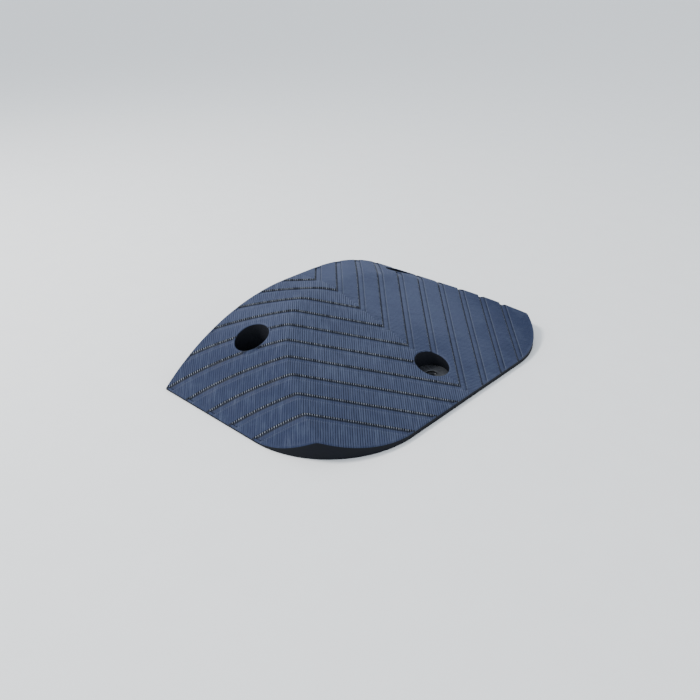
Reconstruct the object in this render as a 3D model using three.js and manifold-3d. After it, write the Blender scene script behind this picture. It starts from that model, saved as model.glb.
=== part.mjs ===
// End cap of a modular rubber speed bump.
//
// One moulded rubber body slopes down to the road on three sides and ends in a flat joining face,
// where the next module of the bump butts up. V-shaped drainage grooves point to the nose. Three
// vertical bolt holes are counterbored, and each has a steel seat washer and a steel spacer sleeve.
//
// Millimetres, +Z up. The nose points along +X and the joining face looks along -X. The origin is
// the centre of the underside's bounding rectangle.

import * as THREE from 'three';
import { mergeVertices } from 'three/addons/utils/BufferGeometryUtils.js';
import Module from 'manifold-3d';

const wasm = await Module();
wasm.setup();

// Overall size of the cap.
const LENGTH = 250;
const WIDTH = 400;
const HEIGHT = 72;

// Cross-section: a narrow flat crown, then one arc down to a thin lip on each side.
const CROWN_HALF_WIDTH = 22;
const SIDE_LIP = 3;
const ARC_STEPS = 14;

// Length section: the crown stays level from the joining face, then falls straight to the nose.
const LEVEL_LENGTH = 50;
const NOSE_LIP = 6;

// Plan: both nose corners are large arcs, and the joining face has sharp corners.
const NOSE_CORNER_RADIUS = 105;
const NOSE_CORNER_STEPS = 20;

// Drainage grooves: nested Vs whose arms run at 45 degrees to the cap's long axis.
const GROOVE_COUNT = 10;
const FIRST_GROOVE = 25.6;
const GROOVE_PITCH = 35;
const GROOVE_WIDTH = 7;
const GROOVE_DEPTH = 2;
const GROOVE_BORDER = 2;

// Bolt holes: distance from the joining face and offset from the long axis.
const BOLT_HOLES = [
  { name: 'nose', fromJoint: 199.5, offset: 0 },
  { name: 'left', fromJoint: 54, offset: 122 },
  { name: 'right', fromJoint: 54, offset: -122 },
];
const COUNTERBORE_RADIUS = 18.5;
const HOLE_STEPS = 32;

// Steel hardware in each hole.
const BOLT_CLEARANCE_RADIUS = 6;
const WASHER_RADIUS = 18.2;
const WASHER_THICKNESS = 3;
const WASHER_UNDERSIDE = 7.5;
const SLEEVE_RADIUS = 8;
const FIT_GAP = 0.3;

// How far a cutter reaches past the surface that it cuts.
const OVERCUT = 10;

const rubber = new THREE.MeshStandardMaterial({ color: 0x39465c, roughness: 0.75, metalness: 0 });
const steel = new THREE.MeshStandardMaterial({ color: 0x7c7a78, roughness: 0.5, metalness: 1 });

const JOINT_X = -LENGTH / 2;
const NOSE_X = LENGTH / 2;
const SIDE_Y = WIDTH / 2;

function toSolid(geometry) {
  const bare = geometry.clone();
  bare.deleteAttribute('normal');
  bare.deleteAttribute('uv');
  const merged = mergeVertices(bare, 1e-4);
  const vertProperties = new Float32Array(merged.attributes.position.array);
  const triVerts = new Uint32Array(merged.index.array);
  return new wasm.Manifold(new wasm.Mesh({ numProp: 3, vertProperties, triVerts }));
}

function toGeometry(solid) {
  const mesh = solid.getMesh();
  const geometry = new THREE.BufferGeometry();
  geometry.setAttribute('position', new THREE.BufferAttribute(mesh.vertProperties, 3));
  geometry.setIndex(new THREE.BufferAttribute(mesh.triVerts, 1));
  geometry.computeVertexNormals();
  return geometry;
}

function plate(shape, bottom, top) {
  const geometry = new THREE.ExtrudeGeometry(shape, { depth: top - bottom, bevelEnabled: false });
  return geometry.translate(0, 0, bottom);
}

function ring(innerRadius, outerRadius, bottom, top) {
  const shape = new THREE.Shape();
  shape.absarc(0, 0, outerRadius, 0, 2 * Math.PI, false);
  const hole = new THREE.Path();
  hole.absarc(0, 0, innerRadius, 0, 2 * Math.PI, true);
  shape.holes.push(hole);
  // A full circle takes two points for each curve segment.
  const options = { depth: top - bottom, bevelEnabled: false, curveSegments: HOLE_STEPS / 2 };
  return new THREE.ExtrudeGeometry(shape, options).translate(0, 0, bottom);
}

// Radius of the side arc that leaves the crown level and meets the lip.
function sideArcRadius() {
  const run = SIDE_Y - CROWN_HALF_WIDTH;
  const drop = HEIGHT - SIDE_LIP;
  return (run * run + drop * drop) / (2 * drop);
}

// Height of the arched surface at a distance from the long axis.
function archHeight(distance) {
  const radius = sideArcRadius();
  const run = Math.max(0, distance - CROWN_HALF_WIDTH);
  return HEIGHT - radius + Math.sqrt(radius * radius - run * run);
}

// The arch runs the whole length: its section is drawn in Y and Z and extruded along X.
function archSolid() {
  const shape = new THREE.Shape();
  shape.moveTo(-SIDE_Y, 0);
  shape.lineTo(SIDE_Y, 0);
  for (let i = 0; i <= ARC_STEPS; i += 1) {
    const y = SIDE_Y - ((SIDE_Y - CROWN_HALF_WIDTH) * i) / ARC_STEPS;
    shape.lineTo(y, archHeight(y));
  }
  for (let i = ARC_STEPS; i >= 0; i -= 1) {
    const y = SIDE_Y - ((SIDE_Y - CROWN_HALF_WIDTH) * i) / ARC_STEPS;
    shape.lineTo(-y, archHeight(y));
  }
  shape.closePath();
  const geometry = plate(shape, JOINT_X, NOSE_X);
  const sectionToWorld = new THREE.Matrix4().makeBasis(
    new THREE.Vector3(0, 1, 0),
    new THREE.Vector3(0, 0, 1),
    new THREE.Vector3(1, 0, 0),
  );
  return toSolid(geometry.applyMatrix4(sectionToWorld));
}

// The wedge holds the level crown and the straight fall to the nose.
function wedgeSolid() {
  const shape = new THREE.Shape();
  shape.moveTo(JOINT_X - OVERCUT, -OVERCUT);
  shape.lineTo(NOSE_X, -OVERCUT);
  shape.lineTo(NOSE_X, NOSE_LIP);
  shape.lineTo(JOINT_X + LEVEL_LENGTH, HEIGHT);
  shape.lineTo(JOINT_X + LEVEL_LENGTH, HEIGHT + OVERCUT);
  shape.lineTo(JOINT_X - OVERCUT, HEIGHT + OVERCUT);
  shape.closePath();
  const geometry = plate(shape, -SIDE_Y - OVERCUT, SIDE_Y + OVERCUT);
  return toSolid(geometry.rotateX(Math.PI / 2));
}

// Plan outline, drawn inset from the sides and the nose, and begun at a given X.
function planShape(inset, jointX) {
  const radius = NOSE_CORNER_RADIUS - inset;
  const centreX = NOSE_X - NOSE_CORNER_RADIUS;
  const centreY = SIDE_Y - NOSE_CORNER_RADIUS;
  const shape = new THREE.Shape();
  shape.moveTo(jointX, -SIDE_Y + inset);
  shape.lineTo(centreX, -SIDE_Y + inset);
  for (let i = 1; i <= NOSE_CORNER_STEPS; i += 1) {
    const angle = -Math.PI / 2 + ((Math.PI / 2) * i) / NOSE_CORNER_STEPS;
    shape.lineTo(centreX + radius * Math.cos(angle), -centreY + radius * Math.sin(angle));
  }
  for (let i = 0; i <= NOSE_CORNER_STEPS; i += 1) {
    const angle = ((Math.PI / 2) * i) / NOSE_CORNER_STEPS;
    shape.lineTo(centreX + radius * Math.cos(angle), centreY + radius * Math.sin(angle));
  }
  shape.lineTo(jointX, SIDE_Y - inset);
  shape.closePath();
  return shape;
}

function blankSolid() {
  const footprint = toSolid(plate(planShape(0, JOINT_X), -OVERCUT, HEIGHT + OVERCUT));
  return archSolid().intersect(wedgeSolid()).intersect(footprint);
}

// One V: the tip points to the nose and the arms run back past the sides.
function chevronSolid(index) {
  const tip = JOINT_X + FIRST_GROOVE + index * GROOVE_PITCH;
  const alongAxis = GROOVE_WIDTH * Math.SQRT2;
  const reach = SIDE_Y + OVERCUT;
  const shape = new THREE.Shape();
  shape.moveTo(tip, 0);
  shape.lineTo(tip - reach, -reach);
  shape.lineTo(tip - reach + alongAxis, -reach);
  shape.lineTo(tip + alongAxis, 0);
  shape.lineTo(tip - reach + alongAxis, reach);
  shape.lineTo(tip - reach, reach);
  shape.closePath();
  return toSolid(plate(shape, 0, HEIGHT + OVERCUT));
}

function holeX(hole) {
  return JOINT_X + hole.fromJoint;
}

function cylinderSolid(hole, radius, bottom, top) {
  const geometry = new THREE.CylinderGeometry(radius, radius, top - bottom, HOLE_STEPS);
  geometry.rotateX(Math.PI / 2);
  geometry.translate(holeX(hole), hole.offset, (bottom + top) / 2);
  return toSolid(geometry);
}

// The grooves keep to a field that leaves a plain rim along every edge and round every hole.
function grooveField() {
  const top = HEIGHT + OVERCUT;
  let field = toSolid(plate(planShape(GROOVE_BORDER, JOINT_X + GROOVE_BORDER), 0, top));
  for (const hole of BOLT_HOLES) {
    const rim = cylinderSolid(hole, COUNTERBORE_RADIUS + GROOVE_BORDER, -OVERCUT, top + OVERCUT);
    field = field.subtract(rim);
  }
  return field;
}

// All grooves together: the Vs inside their field, above a floor that follows the surface.
function grooveCutter(blank) {
  let chevrons = chevronSolid(0);
  for (let i = 1; i < GROOVE_COUNT; i += 1) {
    chevrons = chevrons.add(chevronSolid(i));
  }
  return chevrons.intersect(grooveField()).subtract(blank.translate([0, 0, -GROOVE_DEPTH]));
}

function rubberBody() {
  const blank = blankSolid();
  let body = blank.subtract(grooveCutter(blank));
  for (const hole of BOLT_HOLES) {
    const seat = WASHER_UNDERSIDE - FIT_GAP;
    const counterbore = cylinderSolid(hole, COUNTERBORE_RADIUS, seat, HEIGHT + OVERCUT);
    const bore = cylinderSolid(hole, SLEEVE_RADIUS + FIT_GAP, -OVERCUT, seat + OVERCUT);
    body = body.subtract(counterbore).subtract(bore);
  }
  const mesh = new THREE.Mesh(toGeometry(body), rubber);
  mesh.name = 'rubber_body';
  return mesh;
}

function seatWasher(hole) {
  const geometry = ring(BOLT_CLEARANCE_RADIUS, WASHER_RADIUS, 0, WASHER_THICKNESS);
  const mesh = new THREE.Mesh(geometry, steel);
  mesh.name = `seat_washer_${hole.name}`;
  mesh.position.set(holeX(hole), hole.offset, WASHER_UNDERSIDE);
  return mesh;
}

function spacerSleeve(hole) {
  const geometry = ring(BOLT_CLEARANCE_RADIUS, SLEEVE_RADIUS, 0, WASHER_UNDERSIDE - FIT_GAP);
  const mesh = new THREE.Mesh(geometry, steel);
  mesh.name = `spacer_sleeve_${hole.name}`;
  mesh.position.set(holeX(hole), hole.offset, 0);
  return mesh;
}

const cap = new THREE.Group();
cap.add(rubberBody());
for (const hole of BOLT_HOLES) {
  cap.add(seatWasher(hole));
  cap.add(spacerSleeve(hole));
}

export default cap;
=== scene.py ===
"""Looks of the rubber speed bump end cap: fine relief, rubber and steel materials, studio."""

import math

import bpy
import numpy as np
from mathutils import Matrix, Vector


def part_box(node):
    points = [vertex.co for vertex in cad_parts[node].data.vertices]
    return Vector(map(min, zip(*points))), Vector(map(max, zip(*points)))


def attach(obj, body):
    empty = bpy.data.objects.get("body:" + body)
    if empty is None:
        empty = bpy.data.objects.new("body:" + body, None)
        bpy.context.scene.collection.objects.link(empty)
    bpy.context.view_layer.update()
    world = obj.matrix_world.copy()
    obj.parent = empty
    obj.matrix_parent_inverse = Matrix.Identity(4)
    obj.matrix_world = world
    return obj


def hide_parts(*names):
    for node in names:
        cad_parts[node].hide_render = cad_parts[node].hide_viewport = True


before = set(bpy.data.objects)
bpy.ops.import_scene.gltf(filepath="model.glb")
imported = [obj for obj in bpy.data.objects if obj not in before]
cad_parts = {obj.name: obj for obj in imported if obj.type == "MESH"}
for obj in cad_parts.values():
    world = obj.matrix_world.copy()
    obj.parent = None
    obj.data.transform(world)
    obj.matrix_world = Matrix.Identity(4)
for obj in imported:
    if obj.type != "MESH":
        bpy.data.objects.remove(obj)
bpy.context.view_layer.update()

MM = 0.001
ROOT2 = math.sqrt(2)

# Overall size and place, read from the frame.
BODY_LOW, BODY_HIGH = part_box("rubber_body")
JOINT_X = BODY_LOW[0]
LENGTH = BODY_HIGH[0] - BODY_LOW[0]
HALF_WIDTH = (BODY_HIGH[1] - BODY_LOW[1]) / 2
HEIGHT = BODY_HIGH[2]
HOLES = ("nose", "left", "right")

# Section and plan of the cap, as in the CAD model.
CROWN_HALF_WIDTH = 22 * MM
SIDE_LIP = 3 * MM
LEVEL_LENGTH = 50 * MM
NOSE_LIP = 6 * MM
NOSE_CORNER_RADIUS = 105 * MM
COUNTERBORE_RADIUS = 18.5 * MM
BOLT_CLEARANCE_RADIUS = 6 * MM
FIT_GAP = 0.3 * MM

# Grooves: nested Vs at 45 degrees. Pitch and first place are measured across the groove.
GROOVE_COUNT = 10
GROOVE_PITCH = 35 * MM / ROOT2
FIRST_GROOVE = 25.6 * MM / ROOT2
GROOVE_WIDTH = 7 * MM
GROOVE_DEPTH = 2 * MM
GROOVE_WALL = 0.25 * MM
WALL_STEPS = 7
GROOVE_BORDER = 2.3 * MM
GROOVE_RUN_OUT = 0.7 * MM
JOINT_NOTCH = 0.3

# Ribs: eleven to each groove pitch, square to the grooves.
RIB_PITCH = GROOVE_PITCH / 11
RIB_DEPTH = 0.6 * MM
RIB_SCALLOP = 0.9 * MM
RIB_BORDER = 1.2 * MM
RIB_RUN_OUT = 1 * MM
RIB_SAMPLES = 6
STREAK_LENGTH = 35 * MM

# Meshing of the relief.
CREST_SOFTNESS = 0.9 * MM
STEP_ACROSS = 1.4 * MM
OVERHANG = 1.5 * MM
UNDERCUT = 5 * MM
SKY = 30 * MM

# Rounded edges of the moulding: distance inside the edge and height above the blank surface.
EDGE_PROFILE = ((0.0, -1.0), (0.3, -0.42), (1.0, 0.02), (1.8, 0.6))
FOOT_ROUNDING = 0.6 * MM
SIDE_BAND = 0.1 * MM
STEEPEST_TREAD = 0.3
HOLE_STEPS = 96

# Tread colours as linear RGB, from the rubber itself to what lies on it or is worn into it, and
# painted light and shade: paler higher on the cap, painted shade at the outer tips, in the rib
# valleys and as groove shadows, painted highlights on rib tops, groove edges and rib ends.
# Painted light: the cap is mixed towards the paler colour higher up.
BARE_AND_SHADED_RUBBER = (0.021, 0.030, 0.070, 1)
DUSTY_AND_LIT_RUBBER = (0.056, 0.069, 0.122, 1)
# Painted shade at the outer tips.
PAINTED_TIP_SHADE = (0.006, 0.014, 0.050, 1)
DUST_PATCH = (0.070, 0.088, 0.135, 1)
# Painted shade in the rib valleys.
RIB_VALLEY_SHADE = (0.006, 0.010, 0.026, 1)
# Painted highlight on the rib tops.
RIB_TOP_HIGHLIGHT = (0.125, 0.150, 0.215, 1)
DARK_STREAK = (0.012, 0.020, 0.046, 1)
PALE_STREAK = (0.095, 0.118, 0.175, 1)
# Painted highlight along each groove's outer edge.
LIP_HIGHLIGHT = (0.17, 0.19, 0.24, 1)
FOOT_SHADE = (0.012, 0.016, 0.030, 1)
# Painted shadow at each groove's inner wall.
GROOVE_SHADOW = (0.004, 0.006, 0.013, 1)
# Painted highlight on the rib ends at each groove's inner wall.
RIB_END_HIGHLIGHT = (0.34, 0.355, 0.40, 1)

# Colours of the other surfaces, as the two ends of a blotchy mix.
# Side rubber: darkened further as painted shade.
SHADED_SIDE_RUBBER = ((0.004, 0.005, 0.008, 1), (0.007, 0.008, 0.012, 1))
ZINC_STEEL = ((0.095, 0.099, 0.110, 1), (0.014, 0.016, 0.022, 1))
FLOOR_GREYS = ((0.86, 0.86, 0.86, 1), (0.90, 0.90, 0.90, 1))
SKY_COLOUR = (0.86, 0.93, 1.0, 1)
SKY_STRENGTH = 1.3

# Fine grain of moulded rubber and of plating: noise scale and bump height.
GRAIN_SCALE = 1400.0
STEEL_GRIT_SCALE = 1200.0
GRAIN_HEIGHT = 0.2 * MM

# Band in which the tread changes from its streaked half, which carries the painted rib shading and
# highlights, to its paler half, with stronger painted edge highlights.
HALF_START = -8 * MM
HALF_END = 25 * MM
# Drop below the plane of the end slope over which the slope's painted rib shading and highlights
# fade into the flank's, and the painted rib-end highlights grow.
SLOPE_FADE_START = 1.5 * MM
SLOPE_FADE_END = 5 * MM
# A groove's repeat begins this far before its inner wall, so a band may straddle the wall.
GROOVE_LEAD = 2 * MM

# The photograph's view: place aimed at on the road, angles in degrees, distance, and lens.
AIM = Vector((-39.8 * MM, -5.1 * MM, 0.0))
VIEW_AZIMUTH = 43.51
VIEW_ELEVATION = 28.05
VIEW_ROLL = -1.01
VIEW_DISTANCE = 844.4 * MM
LENS = 37.34


# ---------------------------------------------------------------- shape of the surface

def arch_height(distance):
    """Height of the arched section at a distance from the long axis."""
    run = HALF_WIDTH - CROWN_HALF_WIDTH
    drop = HEIGHT - SIDE_LIP
    radius = (run * run + drop * drop) / (2 * drop)
    out = np.maximum(0.0, distance - CROWN_HALF_WIDTH)
    return HEIGHT - radius + np.sqrt(radius * radius - out * out)


def slope_height(along):
    """Height of the end slope at a distance from the joining face."""
    fall = (HEIGHT - NOSE_LIP) / (LENGTH - LEVEL_LENGTH)
    return NOSE_LIP + (LENGTH - along) * fall


def blank_height(along, distance):
    """Height without grooves and ribs. The two surfaces meet in a slightly softened crest."""
    arch = arch_height(distance)
    slope = slope_height(along)
    gap = np.abs(arch - slope)
    return np.minimum(arch, slope) - CREST_SOFTNESS * np.log1p(np.exp(-gap / CREST_SOFTNESS))


def edge_distance(along, distance):
    """Distance inside the plan outline, leaving out the joining face."""
    centre_x = LENGTH - NOSE_CORNER_RADIUS
    centre_y = HALF_WIDTH - NOSE_CORNER_RADIUS
    straight = np.minimum(HALF_WIDTH - distance, LENGTH - along)
    rounded = NOSE_CORNER_RADIUS - np.hypot(along - centre_x, distance - centre_y)
    corner = (along > centre_x) & (distance > centre_y)
    return np.where(corner, rounded, straight)


def field_distance(along, distance):
    """Distance inside the patterned field, which stops short of the outline and every hole."""
    nearest = edge_distance(along, distance)
    for hole in HOLES:
        x, y = hole_centre(hole)
        from_hole = np.hypot(along - (x - JOINT_X), distance - abs(y)) - COUNTERBORE_RADIUS
        nearest = np.minimum(nearest, from_hole)
    return nearest


def smooth_step(value, start, end):
    t = np.clip((value - start) / (end - start), 0.0, 1.0)
    return t * t * (3 - 2 * t)


def groove_amount(across, drop):
    """1 on a groove's floor and 0 on the land. The valleys between ribs scallop its walls."""
    first_centre = FIRST_GROOVE + GROOVE_WIDTH / 2
    nearest = np.clip(np.round((across - first_centre) / GROOVE_PITCH), 0, GROOVE_COUNT - 1)
    off = np.abs(across - first_centre - nearest * GROOVE_PITCH) - RIB_SCALLOP * drop
    return 1 - smooth_step(off, GROOVE_WIDTH / 2 - GROOVE_WALL, GROOVE_WIDTH / 2)


def rib_drop(place):
    """0 on a rib's rounded top and 1 in the valley between two ribs."""
    return 1 - np.abs(np.cos(math.pi * place / RIB_PITCH))


def surface_height(along, distance):
    across = (along + distance) / ROOT2
    place = (along - distance) / ROOT2
    inside = field_distance(along, distance)
    ribbed = smooth_step(np.minimum(inside, along), RIB_BORDER, RIB_BORDER + RIB_RUN_OUT)
    drop = rib_drop(place) * ribbed
    groove = groove_amount(across, drop)
    groove = groove * smooth_step(inside, GROOVE_BORDER - GROOVE_RUN_OUT, GROOVE_BORDER)
    past_joint = smooth_step(along, GROOVE_BORDER - GROOVE_RUN_OUT, GROOVE_BORDER)
    groove = groove * (JOINT_NOTCH + (1 - JOINT_NOTCH) * past_joint)
    relief = GROOVE_DEPTH * groove + RIB_DEPTH * (1 - groove) * drop
    return blank_height(along, distance) - relief


# ---------------------------------------------------------------- mesh helpers

def new_object(name, vertices, faces):
    mesh = bpy.data.meshes.new(name)
    mesh.from_pydata(vertices, [], faces)
    mesh.update()
    obj = bpy.data.objects.new(name, mesh)
    bpy.context.scene.collection.objects.link(obj)
    return obj


def loft(name, rings, closed=False):
    """A solid through rings of equal length, capped at both ends or closed on itself."""
    count = len(rings[0])
    layers = len(rings)
    vertices = [v for one in rings for v in one]
    faces = []
    for i in range(layers if closed else layers - 1):
        lower = i * count
        upper = ((i + 1) % layers) * count
        for j in range(count):
            k = (j + 1) % count
            faces.append((lower + j, lower + k, upper + k, upper + j))
    if not closed:
        faces.append(tuple(reversed(range(count))))
        faces.append(tuple((layers - 1) * count + j for j in range(count)))
    return new_object(name, vertices, faces)


def boolean(target, operation, tool):
    """Cuts or joins target with tool, bakes the result into target's mesh and drops tool."""
    modifier = target.modifiers.new(operation, "BOOLEAN")
    modifier.operation = operation
    modifier.solver = "MANIFOLD"
    modifier.object = tool
    depsgraph = bpy.context.evaluated_depsgraph_get()
    result = bpy.data.meshes.new_from_object(target.evaluated_get(depsgraph))
    target.modifiers.clear()
    target.data = result
    bpy.data.objects.remove(tool)


def smooth_shading(obj, angle):
    obj.data.shade_smooth()
    obj.data.set_sharp_from_angle(angle=math.radians(angle))


def circle(centre_x, centre_y, radius, height):
    """A ring of points. height is a number or a function of a point's x and y."""
    points = []
    for i in range(HOLE_STEPS):
        angle = 2 * math.pi * i / HOLE_STEPS
        x = centre_x + radius * math.cos(angle)
        y = centre_y + radius * math.sin(angle)
        z = height(x, y) if callable(height) else height
        points.append((x, y, z))
    return points


def above_blank(lift):
    """A function of x and y: the blank surface's height, lifted."""
    return lambda x, y: float(blank_height(x - JOINT_X, abs(y))) + lift


# ---------------------------------------------------------------- rubber body

def across_samples(longest):
    """Places across the grooves: every groove wall, and even steps between them."""
    stops = {0.0, longest}
    for i in range(GROOVE_COUNT):
        start = FIRST_GROOVE + i * GROOVE_PITCH
        for j in range(WALL_STEPS + 1):
            inward = GROOVE_WALL - (GROOVE_WALL + RIB_SCALLOP) * j / WALL_STEPS
            stops.add(start + inward)
            stops.add(start + GROOVE_WIDTH - inward)
    stops = sorted(s for s in stops if s <= longest)
    samples = []
    for low, high in zip(stops[:-1], stops[1:]):
        steps = max(1, math.ceil((high - low) / STEP_ACROSS))
        samples.extend(low + (high - low) * i / steps for i in range(steps))
    return samples + [longest]


def rib_lines():
    """Lines along the ribs of one half, as (place, list of stops across the grooves)."""
    near_x = -OVERHANG
    far_x = LENGTH + OVERHANG
    far_y = HALF_WIDTH + OVERHANG
    lowest = (near_x - far_y) / ROOT2
    highest = far_x / ROOT2
    corners = [lowest, (far_x - far_y) / ROOT2, near_x / ROOT2, highest]
    step = RIB_PITCH / RIB_SAMPLES
    regular = [i * step for i in range(math.ceil(lowest / step), math.ceil(highest / step))]
    apart = 0.2 * step
    regular = [p for p in regular if min(abs(p - c) for c in corners) > apart]
    samples = across_samples((far_x + far_y) / ROOT2)
    lines = []
    for place in sorted(regular + corners):
        begin = max(place, ROOT2 * near_x - place)
        finish = min(ROOT2 * far_x - place, ROOT2 * far_y + place)
        middle = [s for s in samples if begin + apart < s < finish - apart]
        ends = [begin] if finish - begin < apart else [begin, finish]
        lines.append((place, ends[:1] + middle + ends[1:]))
    return lines


def zip_lines(first, second, first_stops, second_stops):
    """Triangles between two lines of vertices, stepping along whichever is behind."""
    triangles = []
    i = 0
    j = 0
    while i < len(first) - 1 or j < len(second) - 1:
        first_next = first_stops[i + 1] if i < len(first) - 1 else math.inf
        second_next = second_stops[j + 1] if j < len(second) - 1 else math.inf
        if first_next <= second_next:
            triangles.append((first[i], first[i + 1], second[j]))
            i += 1
        else:
            triangles.append((first[i], second[j + 1], second[j]))
            j += 1
    return triangles


def relief_solid():
    """The grooved and ribbed surface, overhanging the outline, closed down to below the road."""
    lines = rib_lines()
    points = []
    triangles = []
    axis_vertex = {}
    for side in (-1, 1):
        previous = None
        for place, stops in lines:
            row = []
            for index, across in enumerate(stops):
                on_axis = index == 0 and abs(across - place) < 1e-9
                if on_axis and place in axis_vertex:
                    row.append(axis_vertex[place])
                    continue
                if on_axis:
                    axis_vertex[place] = len(points)
                row.append(len(points))
                points.append(((across + place) / ROOT2, side * (across - place) / ROOT2))
            if previous:
                strip = zip_lines(previous[0], row, previous[1], stops)
                triangles.extend(strip if side > 0 else [t[::-1] for t in strip])
            previous = (row, stops)
    plan = np.array(points)
    top = np.column_stack((plan, surface_height(plan[:, 0], np.abs(plan[:, 1]))))
    faces = np.array(triangles)
    if plan_area(plan, faces) < 0:
        faces = faces[:, ::-1]
    return close_downwards("rubber_body_detail", top, faces)


def plan_area(plan, faces):
    a, b, c = (plan[faces[:, i]] for i in range(3))
    ab = b - a
    ac = c - a
    return float(np.sum(ab[:, 0] * ac[:, 1] - ab[:, 1] * ac[:, 0])) / 2


def close_downwards(name, top, faces):
    """Adds walls from the surface's rim down to a flat bottom, fanned from its middle."""
    count = len(top)
    starts = faces.ravel()
    ends = np.roll(faces, -1, axis=1).ravel()
    rim = ~np.isin(starts * count + ends, ends * count + starts)
    starts = starts[rim]
    ends = ends[rim]
    rim_vertices, slot = np.unique(np.concatenate((starts, ends)), return_inverse=True)
    low = top[rim_vertices].copy()
    low[:, 2] = -UNDERCUT
    middle = np.array([[LENGTH / 2, 0.0, -UNDERCUT]])
    low_starts = count + slot[: len(starts)]
    low_ends = count + slot[len(starts):]
    middle_vertex = np.full(len(starts), count + len(low))
    walls = np.concatenate((
        np.column_stack((ends, starts, low_starts)),
        np.column_stack((ends, low_starts, low_ends)),
        np.column_stack((low_ends, low_starts, middle_vertex)),
    ))
    vertices = np.concatenate((top, low, middle)) + (JOINT_X, 0.0, 0.0)
    return new_object(name, vertices.tolist(), np.concatenate((faces, walls)).tolist())


def outline(inset):
    """Plan outline, inset all round, counter-clockwise from the joining face's right corner."""
    step = 2.5 * MM
    low_x = JOINT_X + inset
    side_y = HALF_WIDTH - inset
    centre_x = JOINT_X + LENGTH - NOSE_CORNER_RADIUS
    centre_y = HALF_WIDTH - NOSE_CORNER_RADIUS
    radius = NOSE_CORNER_RADIUS - inset
    side_steps = round((LENGTH - NOSE_CORNER_RADIUS) / step)
    corner_steps = round(math.pi / 2 * NOSE_CORNER_RADIUS / step)
    nose_steps = round(2 * centre_y / step)
    joint_steps = round(2 * HALF_WIDTH / step)
    points = []
    for i in range(side_steps):
        points.append((low_x + (centre_x - low_x) * i / side_steps, -side_y))
    for i in range(corner_steps):
        angle = math.pi / 2 * (i / corner_steps - 1)
        points.append((centre_x + radius * math.cos(angle), -centre_y + radius * math.sin(angle)))
    for i in range(nose_steps):
        points.append((centre_x + radius, -centre_y + 2 * centre_y * i / nose_steps))
    for i in range(corner_steps):
        angle = math.pi / 2 * i / corner_steps
        points.append((centre_x + radius * math.cos(angle), centre_y + radius * math.sin(angle)))
    for i in range(side_steps):
        points.append((centre_x + (low_x - centre_x) * i / side_steps, side_y))
    for i in range(joint_steps):
        points.append((low_x, side_y - 2 * side_y * i / joint_steps))
    return points


def raised(points, height):
    return [(x, y, height(x, y) if callable(height) else height) for x, y in points]


def outline_solid():
    """The cap's plan as a tall solid whose rim rounds the moulding's upper and lower edges."""
    rings = [raised(outline(FOOT_ROUNDING), 0.0), raised(outline(0.0), FOOT_ROUNDING)]
    for inset, lift in EDGE_PROFILE:
        rings.append(raised(outline(inset * MM), above_blank(lift * MM)))
    rings.append(raised(outline(EDGE_PROFILE[-1][0] * MM), HEIGHT + SKY))
    return loft("outline_tool", rings)


def hole_centre(hole):
    low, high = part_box("seat_washer_" + hole)
    return (low[0] + high[0]) / 2, (low[1] + high[1]) / 2


def counterbore_tool(hole):
    """Cuts a counterbore and rounds its rim where it breaks through the surface."""
    x, y = hole_centre(hole)
    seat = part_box("seat_washer_" + hole)[0][2] - FIT_GAP
    rings = [circle(x, y, COUNTERBORE_RADIUS, seat)]
    for widening, lift in EDGE_PROFILE:
        rings.append(circle(x, y, COUNTERBORE_RADIUS + widening * MM, above_blank(lift * MM)))
    widest = COUNTERBORE_RADIUS + EDGE_PROFILE[-1][0] * MM
    rings.append(circle(x, y, widest, HEIGHT + SKY))
    return loft("counterbore_tool", rings)


def bore_tool(hole):
    x, y = hole_centre(hole)
    low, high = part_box("spacer_sleeve_" + hole)
    radius = (high[0] - low[0]) / 2 + FIT_GAP
    rings = [circle(x, y, radius, -UNDERCUT), circle(x, y, radius, high[2] + 2 * MM)]
    return loft("bore_tool", rings)


def make_rubber_body():
    body = relief_solid()
    boolean(body, "INTERSECT", outline_solid())
    for hole in HOLES:
        boolean(body, "DIFFERENCE", counterbore_tool(hole))
        boolean(body, "DIFFERENCE", bore_tool(hole))
    smooth_shading(body, 38)
    return body


# ---------------------------------------------------------------- steel pieces

def turned_ring(name, centre, inner, outer, bottom, top, edge):
    """A ring with every edge broken by a small chamfer."""
    profile = (
        (inner + edge, bottom),
        (outer - edge, bottom),
        (outer, bottom + edge),
        (outer, top - edge),
        (outer - edge, top),
        (inner + edge, top),
        (inner, top - edge),
        (inner, bottom + edge),
    )
    rings = [circle(centre[0], centre[1], radius, z) for radius, z in profile]
    ring = loft(name, rings, closed=True)
    smooth_shading(ring, 30)
    return ring


def make_seat_washer(hole):
    low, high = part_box("seat_washer_" + hole)
    outer = (high[0] - low[0]) / 2
    name = "seat_washer_" + hole + "_detail"
    return turned_ring(
        name, hole_centre(hole), BOLT_CLEARANCE_RADIUS, outer, low[2], high[2], 0.35 * MM
    )


def make_spacer_sleeve(hole):
    low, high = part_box("spacer_sleeve_" + hole)
    outer = (high[0] - low[0]) / 2
    name = "spacer_sleeve_" + hole + "_detail"
    return turned_ring(
        name, hole_centre(hole), BOLT_CLEARANCE_RADIUS, outer, low[2], high[2], 0.3 * MM
    )


# ---------------------------------------------------------------- materials

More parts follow.
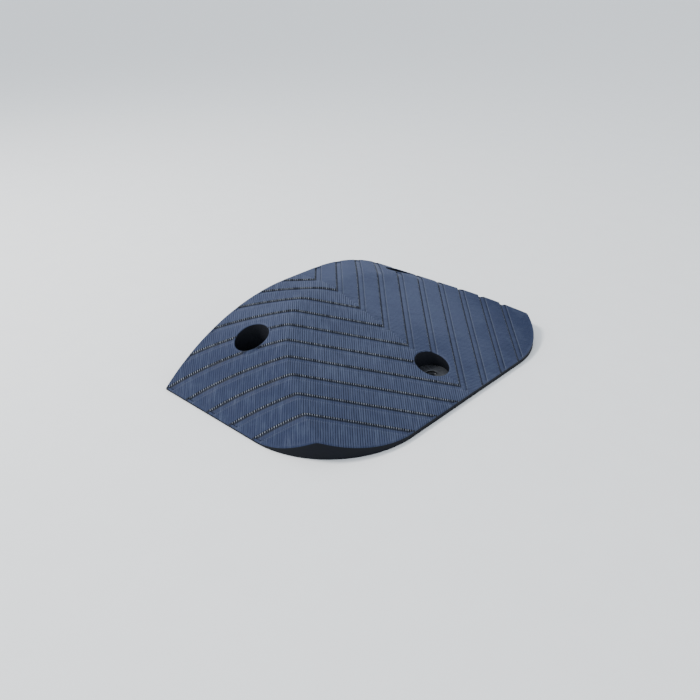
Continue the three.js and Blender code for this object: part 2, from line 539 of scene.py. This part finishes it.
class Graph:
    """Short calls for building a material's node tree."""

    def __init__(self, name):
        self.material = bpy.data.materials.new(name)
        self.material.use_nodes = True
        self.tree = self.material.node_tree
        self.shader = self.tree.nodes["Principled BSDF"]

    def node(self, kind, **settings):
        made = self.tree.nodes.new(kind)
        for key, value in settings.items():
            setattr(made, key, value)
        return made

    def link(self, output, socket):
        self.tree.links.new(output, socket)

    def fill(self, socket, value):
        if isinstance(value, bpy.types.NodeSocket):
            self.link(value, socket)
        else:
            socket.default_value = value

    def math(self, operation, first, second=0.0):
        made = self.node("ShaderNodeMath", operation=operation)
        self.fill(made.inputs[0], first)
        self.fill(made.inputs[1], second)
        return made.outputs[0]

    def noise(self, scale, detail=4.0, roughness=0.5, vector=None):
        made = self.node("ShaderNodeTexNoise")
        made.inputs["Scale"].default_value = scale
        made.inputs["Detail"].default_value = detail
        made.inputs["Roughness"].default_value = roughness
        if vector is not None:
            self.link(vector, made.inputs["Vector"])
        return made.outputs["Fac"]

    def spread(self, value, low, high, to_low=0.0, to_high=1.0):
        made = self.node("ShaderNodeMapRange", clamp=True)
        made.interpolation_type = "SMOOTHSTEP"
        self.fill(made.inputs["Value"], value)
        made.inputs["From Min"].default_value = low
        made.inputs["From Max"].default_value = high
        made.inputs["To Min"].default_value = to_low
        made.inputs["To Max"].default_value = to_high
        return made.outputs["Result"]

    def mix(self, factor, first, second):
        made = self.node("ShaderNodeMix", data_type="RGBA")
        self.fill(made.inputs["Factor"], factor)
        self.fill(made.inputs["A"], first)
        self.fill(made.inputs["B"], second)
        return made.outputs["Result"]

    def bump(self, height, strength, distance, normal=None):
        made = self.node("ShaderNodeBump")
        made.inputs["Strength"].default_value = strength
        made.inputs["Distance"].default_value = distance
        self.link(height, made.inputs["Height"])
        if normal is not None:
            self.link(normal, made.inputs["Normal"])
        return made.outputs["Normal"]

    def position(self):
        return self.node("ShaderNodeTexCoord").outputs["Object"]


def field_coordinates(g):
    """Distances across and along the grooves of either half, and the point's own X, Y and Z."""
    axes = g.node("ShaderNodeSeparateXYZ")
    g.link(g.position(), axes.inputs[0])
    along = g.math("SUBTRACT", axes.outputs["X"], JOINT_X)
    distance = g.math("ABSOLUTE", axes.outputs["Y"])
    across = g.math("MULTIPLY", g.math("ADD", along, distance), 1 / ROOT2)
    place = g.math("MULTIPLY", g.math("SUBTRACT", along, distance), 1 / ROOT2)
    return across, place, axes.outputs


def band(g, value, start, full, fade, end):
    """1 between full and fade, falling to 0 at start and end. All in millimetres."""
    rise = g.spread(value, start * MM, full * MM)
    fall = g.spread(value, fade * MM, end * MM, 1.0, 0.0)
    return g.math("MULTIPLY", rise, fall)


def groove_masks(g, across, place):
    """Masks for painted shadow and painted rib-end highlights at each groove's inner wall, for a
    painted highlight and painted shade at its outer wall, and ribs.
    """
    start = g.math("SUBTRACT", across, FIRST_GROOVE - GROOVE_LEAD)
    inner = g.math("SUBTRACT", g.math("FLOORED_MODULO", start, GROOVE_PITCH), GROOVE_LEAD)
    outer = g.math("SUBTRACT", GROOVE_WIDTH, inner)
    after_first = g.math("GREATER_THAN", start, 0.0)
    before_end = g.math("LESS_THAN", start, GROOVE_COUNT * GROOVE_PITCH)
    rows = g.math("MULTIPLY", after_first, before_end)
    rib = g.math("ABSOLUTE", g.math("COSINE", g.math("MULTIPLY", place, math.pi / RIB_PITCH)))
    valley = g.math("MULTIPLY", g.math("SUBTRACT", 1.0, rib), RIB_SCALLOP)
    from_inner = g.math("ADD", inner, valley)
    from_outer = g.math("ADD", outer, valley)
    # Painted shadow at the inner wall.
    groove_shadow = g.math("MULTIPLY", g.spread(from_inner, -0.2 * MM, 0.1 * MM), rows)
    groove_shadow = g.math("MULTIPLY", groove_shadow, g.spread(inner, 1.5 * MM, 2.4 * MM, 1.0, 0.0))
    # Painted highlight on the rib ends.
    tick = g.math("MULTIPLY", band(g, from_inner, -0.1, 0.0, 0.2, 0.3), rows)
    tick = g.math("MULTIPLY", tick, g.spread(rib, 0.55, 0.85))
    foot = g.math("MULTIPLY", band(g, from_outer, 0.2, 0.5, 0.8, 1.4), rows)
    # Painted highlight along the outer edge.
    lip_highlight = g.math("MULTIPLY", band(g, from_outer, -1.0, -0.6, -0.1, 0.2), rows)
    return groove_shadow, tick, foot, lip_highlight, rib


def rib_streaks(g, across, place, side):
    """Noise drawn out along the ribs, different on each half."""
    ribbon = g.node("ShaderNodeCombineXYZ")
    g.link(g.math("MULTIPLY", place, 1 / RIB_PITCH), ribbon.inputs["X"])
    g.link(g.math("MULTIPLY", across, 1 / STREAK_LENGTH), ribbon.inputs["Y"])
    g.link(g.math("MULTIPLY", g.math("SIGN", side), 7.0), ribbon.inputs["Z"])
    return g.noise(1.3, 3.0, 0.65, ribbon.outputs[0])


def dust_and_light_amount(g, side, height, off_axis):
    """Amount of the paler colour: lighter high on the cap as painted light, paler on the +Y half,
    patchy where dusty, and lower towards the outer tips as painted shade.
    """
    cloud = g.noise(12.0, 5.0, 0.55, g.position())
    # Painted light: paler higher on the cap.
    pale_amount = g.spread(height, 0.0, HEIGHT, -0.15, 0.45)
    pale_amount = g.math("ADD", pale_amount, g.spread(side, -35 * MM, HALF_END, 0.0, 0.45))
    pale_amount = g.math("ADD", pale_amount, g.spread(cloud, 0.35, 0.65, -0.2, 0.2))
    # Painted shade: lower towards the outer tips.
    return g.math("SUBTRACT", pale_amount, g.spread(off_axis, 60 * MM, 190 * MM, 0.0, 0.4))


def drop_below_slope(g, axes):
    """How far a point lies below the plane of the end slope: 0 on the slope, more on a flank."""
    fall = (HEIGHT - NOSE_LIP) / (LENGTH - LEVEL_LENGTH)
    drop = g.math("SUBTRACT", NOSE_LIP + fall * (LENGTH + JOINT_X), axes["Z"])
    return g.math("SUBTRACT", drop, g.math("MULTIPLY", axes["X"], fall))


def dust_and_shade_colour(g, patch, axes):
    """The rubber's colour under all the wear: from clean to dusty, lighter high up as painted
    light, darker at the outer tips as painted shade, patchy.
    """
    side = axes["Y"]
    off_axis = g.math("ABSOLUTE", side)
    colour = g.mix(dust_and_light_amount(g, side, axes["Z"], off_axis), BARE_AND_SHADED_RUBBER, DUSTY_AND_LIT_RUBBER)
    # Painted shade: darker at the outer tips.
    colour = g.mix(g.spread(off_axis, 100 * MM, 180 * MM, 0.0, 0.42), colour, PAINTED_TIP_SHADE)
    return g.mix(g.spread(patch, 0.45, 0.75, 0.0, 0.3), colour, DUST_PATCH)


def rib_colour(g, colour, rib, streak, streaked_half, on_slope):
    """Adds painted shade between the ribs, painted highlights on rib tops, and dark and pale
    streaks along them.
    """
    rib_shading_area = g.math("MULTIPLY", on_slope, streaked_half)
    # Painted shade in the rib valleys.
    valley_shade = g.math("MULTIPLY", g.spread(rib, 0.25, 0.75, 0.72, 0.0), rib_shading_area)
    valley_shade = g.math("MULTIPLY", valley_shade, g.spread(streak, 0.35, 0.65, 1.0, 0.45))
    # Painted highlight on the rib tops.
    top_highlight = g.math("MULTIPLY", g.spread(rib, 0.70, 0.95, 0.0, 0.15), rib_shading_area)
    dark = g.math("MULTIPLY", g.spread(streak, 0.30, 0.50, 0.40, 0.0), streaked_half)
    pale = g.math("MULTIPLY", g.spread(streak, 0.50, 0.72, 0.0, 0.30), streaked_half)
    colour = g.mix(valley_shade, colour, RIB_VALLEY_SHADE)
    colour = g.mix(top_highlight, colour, RIB_TOP_HIGHLIGHT)
    colour = g.mix(dark, colour, DARK_STREAK)
    return g.mix(pale, colour, PALE_STREAK)


def groove_colour(g, colour, masks, streak, side, below_slope):
    """Adds each groove's lines: painted highlight along the outer edge, painted shade at the foot,
    painted shadow at the inner wall and painted highlights on the rib ends.
    """
    groove_shadow, tick, foot, lip_highlight, rib = masks
    lip_highlight = g.math("MULTIPLY", lip_highlight, g.spread(side, HALF_START, HALF_END, 0.14, 0.32))
    # Painted shadow at the inner wall.
    painted_shadow = g.math("MULTIPLY", groove_shadow, g.spread(rib, 0.45, 0.9, 1.0, 0.75))
    painted_shadow = g.math("MULTIPLY", painted_shadow, g.spread(streak, 0.35, 0.65, 1.0, 0.85))
    facing = g.node("ShaderNodeSeparateXYZ")
    g.link(g.node("ShaderNodeNewGeometry").outputs["Normal"], facing.inputs[0])
    upright = g.spread(facing.outputs["Z"], 0.40, 0.65, 1.0, 0.0)
    # Painted highlight on the rib ends, on steep faces only.
    tick = g.math("MULTIPLY", tick, upright)
    tick = g.math("MULTIPLY", tick, g.spread(streak, 0.38, 0.6, 0.25, 1.0))
    off_slope = g.spread(below_slope, SLOPE_FADE_START, SLOPE_FADE_END, 0.85, 1.0)
    tick = g.math("MULTIPLY", tick, off_slope)
    # Painted highlight along the outer edge.
    colour = g.mix(lip_highlight, colour, LIP_HIGHLIGHT)
    colour = g.mix(g.math("MULTIPLY", foot, 0.40), colour, FOOT_SHADE)
    colour = g.mix(painted_shadow, colour, GROOVE_SHADOW)
    return g.mix(tick, colour, RIB_END_HIGHLIGHT)


def rubber_material():
    """The weathered tread: dusty patches and streaks along the ribs, with painted light and shade
    high and low on the cap, in the rib valleys and at the grooves, and painted highlights on rib
    tops and edges.
    """
    g = Graph("weathered_rubber_painted_light")
    across, place, axes = field_coordinates(g)
    side = axes["Y"]
    masks = groove_masks(g, across, place)
    streak = rib_streaks(g, across, place, side)
    patch = g.noise(55.0, 4.0, 0.6, g.position())
    grain = g.noise(GRAIN_SCALE, 3.0, 0.6, g.position())
    streaked_half = g.spread(side, HALF_START, HALF_END, 1.0, 0.3)
    below_slope = drop_below_slope(g, axes)
    on_slope = g.spread(below_slope, SLOPE_FADE_START, SLOPE_FADE_END, 1.0, 0.25)
    colour = dust_and_shade_colour(g, patch, axes)
    colour = rib_colour(g, colour, masks[-1], streak, streaked_half, on_slope)
    colour = groove_colour(g, colour, masks, streak, side, below_slope)
    g.link(colour, g.shader.inputs["Base Color"])
    g.link(g.spread(patch, 0.3, 0.7, 0.62, 0.8), g.shader.inputs["Roughness"])
    g.shader.inputs["Specular IOR Level"].default_value = 0.22
    g.link(g.bump(grain, 0.35, GRAIN_HEIGHT), g.shader.inputs["Normal"])
    return g.material


def shaded_side_rubber_material():
    """Side walls, hole walls and underside: black moulded rubber that does not get dusty, darkened
    further as painted shade.
    """
    g = Graph("clean_shaded_rubber")
    place = g.position()
    patch = g.noise(60.0, 4.0, 0.6, place)
    grain = g.noise(GRAIN_SCALE, 3.0, 0.6, place)
    # Painted shade: darker than the tread.
    colour = g.mix(g.spread(patch, 0.35, 0.65), *SHADED_SIDE_RUBBER)
    g.link(colour, g.shader.inputs["Base Color"])
    g.link(g.spread(patch, 0.3, 0.7, 0.6, 0.8), g.shader.inputs["Roughness"])
    g.shader.inputs["Specular IOR Level"].default_value = 0.15
    g.link(g.bump(grain, 0.3, GRAIN_HEIGHT), g.shader.inputs["Normal"])
    return g.material


def steel_material():
    """Zinc plate gone dull: blotches that are brighter and smoother where less corroded."""
    g = Graph("dull_zinc_steel")
    place = g.position()
    blotch = g.noise(110.0, 4.0, 0.55, place)
    grit = g.noise(STEEL_GRIT_SCALE, 3.0, 0.6, place)
    metal = g.mix(g.spread(blotch, 0.35, 0.62), *ZINC_STEEL)
    g.link(metal, g.shader.inputs["Base Color"])
    g.link(g.spread(blotch, 0.4, 0.62, 0.9, 0.35), g.shader.inputs["Metallic"])
    g.link(g.spread(blotch, 0.35, 0.65, 0.42, 0.75), g.shader.inputs["Roughness"])
    g.link(g.bump(grit, 0.3, GRAIN_HEIGHT), g.shader.inputs["Normal"])
    return g.material


def floor_material():
    g = Graph("pale_floor")
    grain = g.noise(30.0, 3.0, 0.5, g.position())
    g.link(g.mix(grain, *FLOOR_GREYS), g.shader.inputs["Base Color"])
    g.shader.inputs["Roughness"].default_value = 0.9
    return g.material


def paint_body(body, tread, sides):
    """The tread on every face that looks up, and on groove walls; the rest is side rubber."""
    body.data.materials.clear()
    body.data.materials.append(tread)
    body.data.materials.append(sides)
    count = len(body.data.polygons)
    normals = np.empty(count * 3)
    centres = np.empty(count * 3)
    body.data.polygons.foreach_get("normal", normals)
    body.data.polygons.foreach_get("center", centres)
    normals = normals.reshape(-1, 3)
    x, y = centres.reshape(-1, 3)[:, :2].T
    along = x - JOINT_X
    on_edge = np.minimum(edge_distance(along, np.abs(y)), along) < SIDE_BAND
    for hole in HOLES:
        centre_x, centre_y = hole_centre(hole)
        on_edge |= np.hypot(x - centre_x, y - centre_y) < COUNTERBORE_RADIUS + SIDE_BAND
    side = (on_edge & (normals[:, 2] < STEEPEST_TREAD)) | (normals[:, 2] < -0.5)
    body.data.polygons.foreach_set("material_index", side.astype(np.int32))
    body.data.update()


def finish_piece(piece, material, node):
    if material:
        piece.data.materials.append(material)
    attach(piece, "root")
    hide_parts(node)


# ---------------------------------------------------------------- studio

def view_axes():
    """Right, up and forward of the photograph's view."""
    azimuth = math.radians(VIEW_AZIMUTH)
    elevation = math.radians(VIEW_ELEVATION)
    roll = math.radians(VIEW_ROLL)
    level_right = Vector((math.cos(azimuth), math.sin(azimuth), 0.0))
    level_forward = Vector((-math.sin(azimuth), math.cos(azimuth), 0.0))
    z = Vector((0.0, 0.0, 1.0))
    forward = level_forward * math.cos(elevation) - z * math.sin(elevation)
    level_up = level_forward * math.sin(elevation) + z * math.cos(elevation)
    right = level_right * math.cos(roll) + level_up * math.sin(roll)
    up = level_up * math.cos(roll) - level_right * math.sin(roll)
    return right, up, forward


def make_camera():
    right, up, forward = view_axes()
    data = bpy.data.cameras.new("camera")
    data.lens = LENS
    data.sensor_width = 36
    data.clip_start = 0.01
    camera = bpy.data.objects.new("camera", data)
    turn = Matrix((right, up, -forward)).transposed().to_4x4()
    camera.matrix_world = Matrix.Translation(AIM - forward * VIEW_DISTANCE) @ turn
    bpy.context.scene.collection.objects.link(camera)
    bpy.context.scene.camera = camera


def make_floor():
    half = 40.0
    corners = [(-half, -half, 0), (half, -half, 0), (half, half, 0), (-half, half, 0)]
    floor = new_object("floor", corners, [(0, 1, 2, 3)])
    floor.data.materials.append(floor_material())


def make_light(name, place, size, power, colour):
    data = bpy.data.lights.new(name, "AREA")
    data.size = size
    data.energy = power
    data.color = colour
    light = bpy.data.objects.new(name, data)
    light.location = place
    light.rotation_euler = (-Vector(place)).to_track_quat("-Z", "Y").to_euler()
    bpy.context.scene.collection.objects.link(light)


def make_studio():
    make_floor()
    world = bpy.data.worlds.new("soft_sky")
    world.use_nodes = True
    background = world.node_tree.nodes["Background"]
    background.inputs["Color"].default_value = SKY_COLOUR
    background.inputs["Strength"].default_value = SKY_STRENGTH
    bpy.context.scene.world = world
    make_light("key", (-1.05, -0.7, 1.5), 0.4, 34, (1.0, 0.98, 0.95))


rubber_body = make_rubber_body()
paint_body(rubber_body, rubber_material(), shaded_side_rubber_material())
finish_piece(rubber_body, None, "rubber_body")
steel = steel_material()
for hole_name in HOLES:
    finish_piece(make_seat_washer(hole_name), steel, "seat_washer_" + hole_name)
    finish_piece(make_spacer_sleeve(hole_name), steel, "spacer_sleeve_" + hole_name)
make_studio()
make_camera()
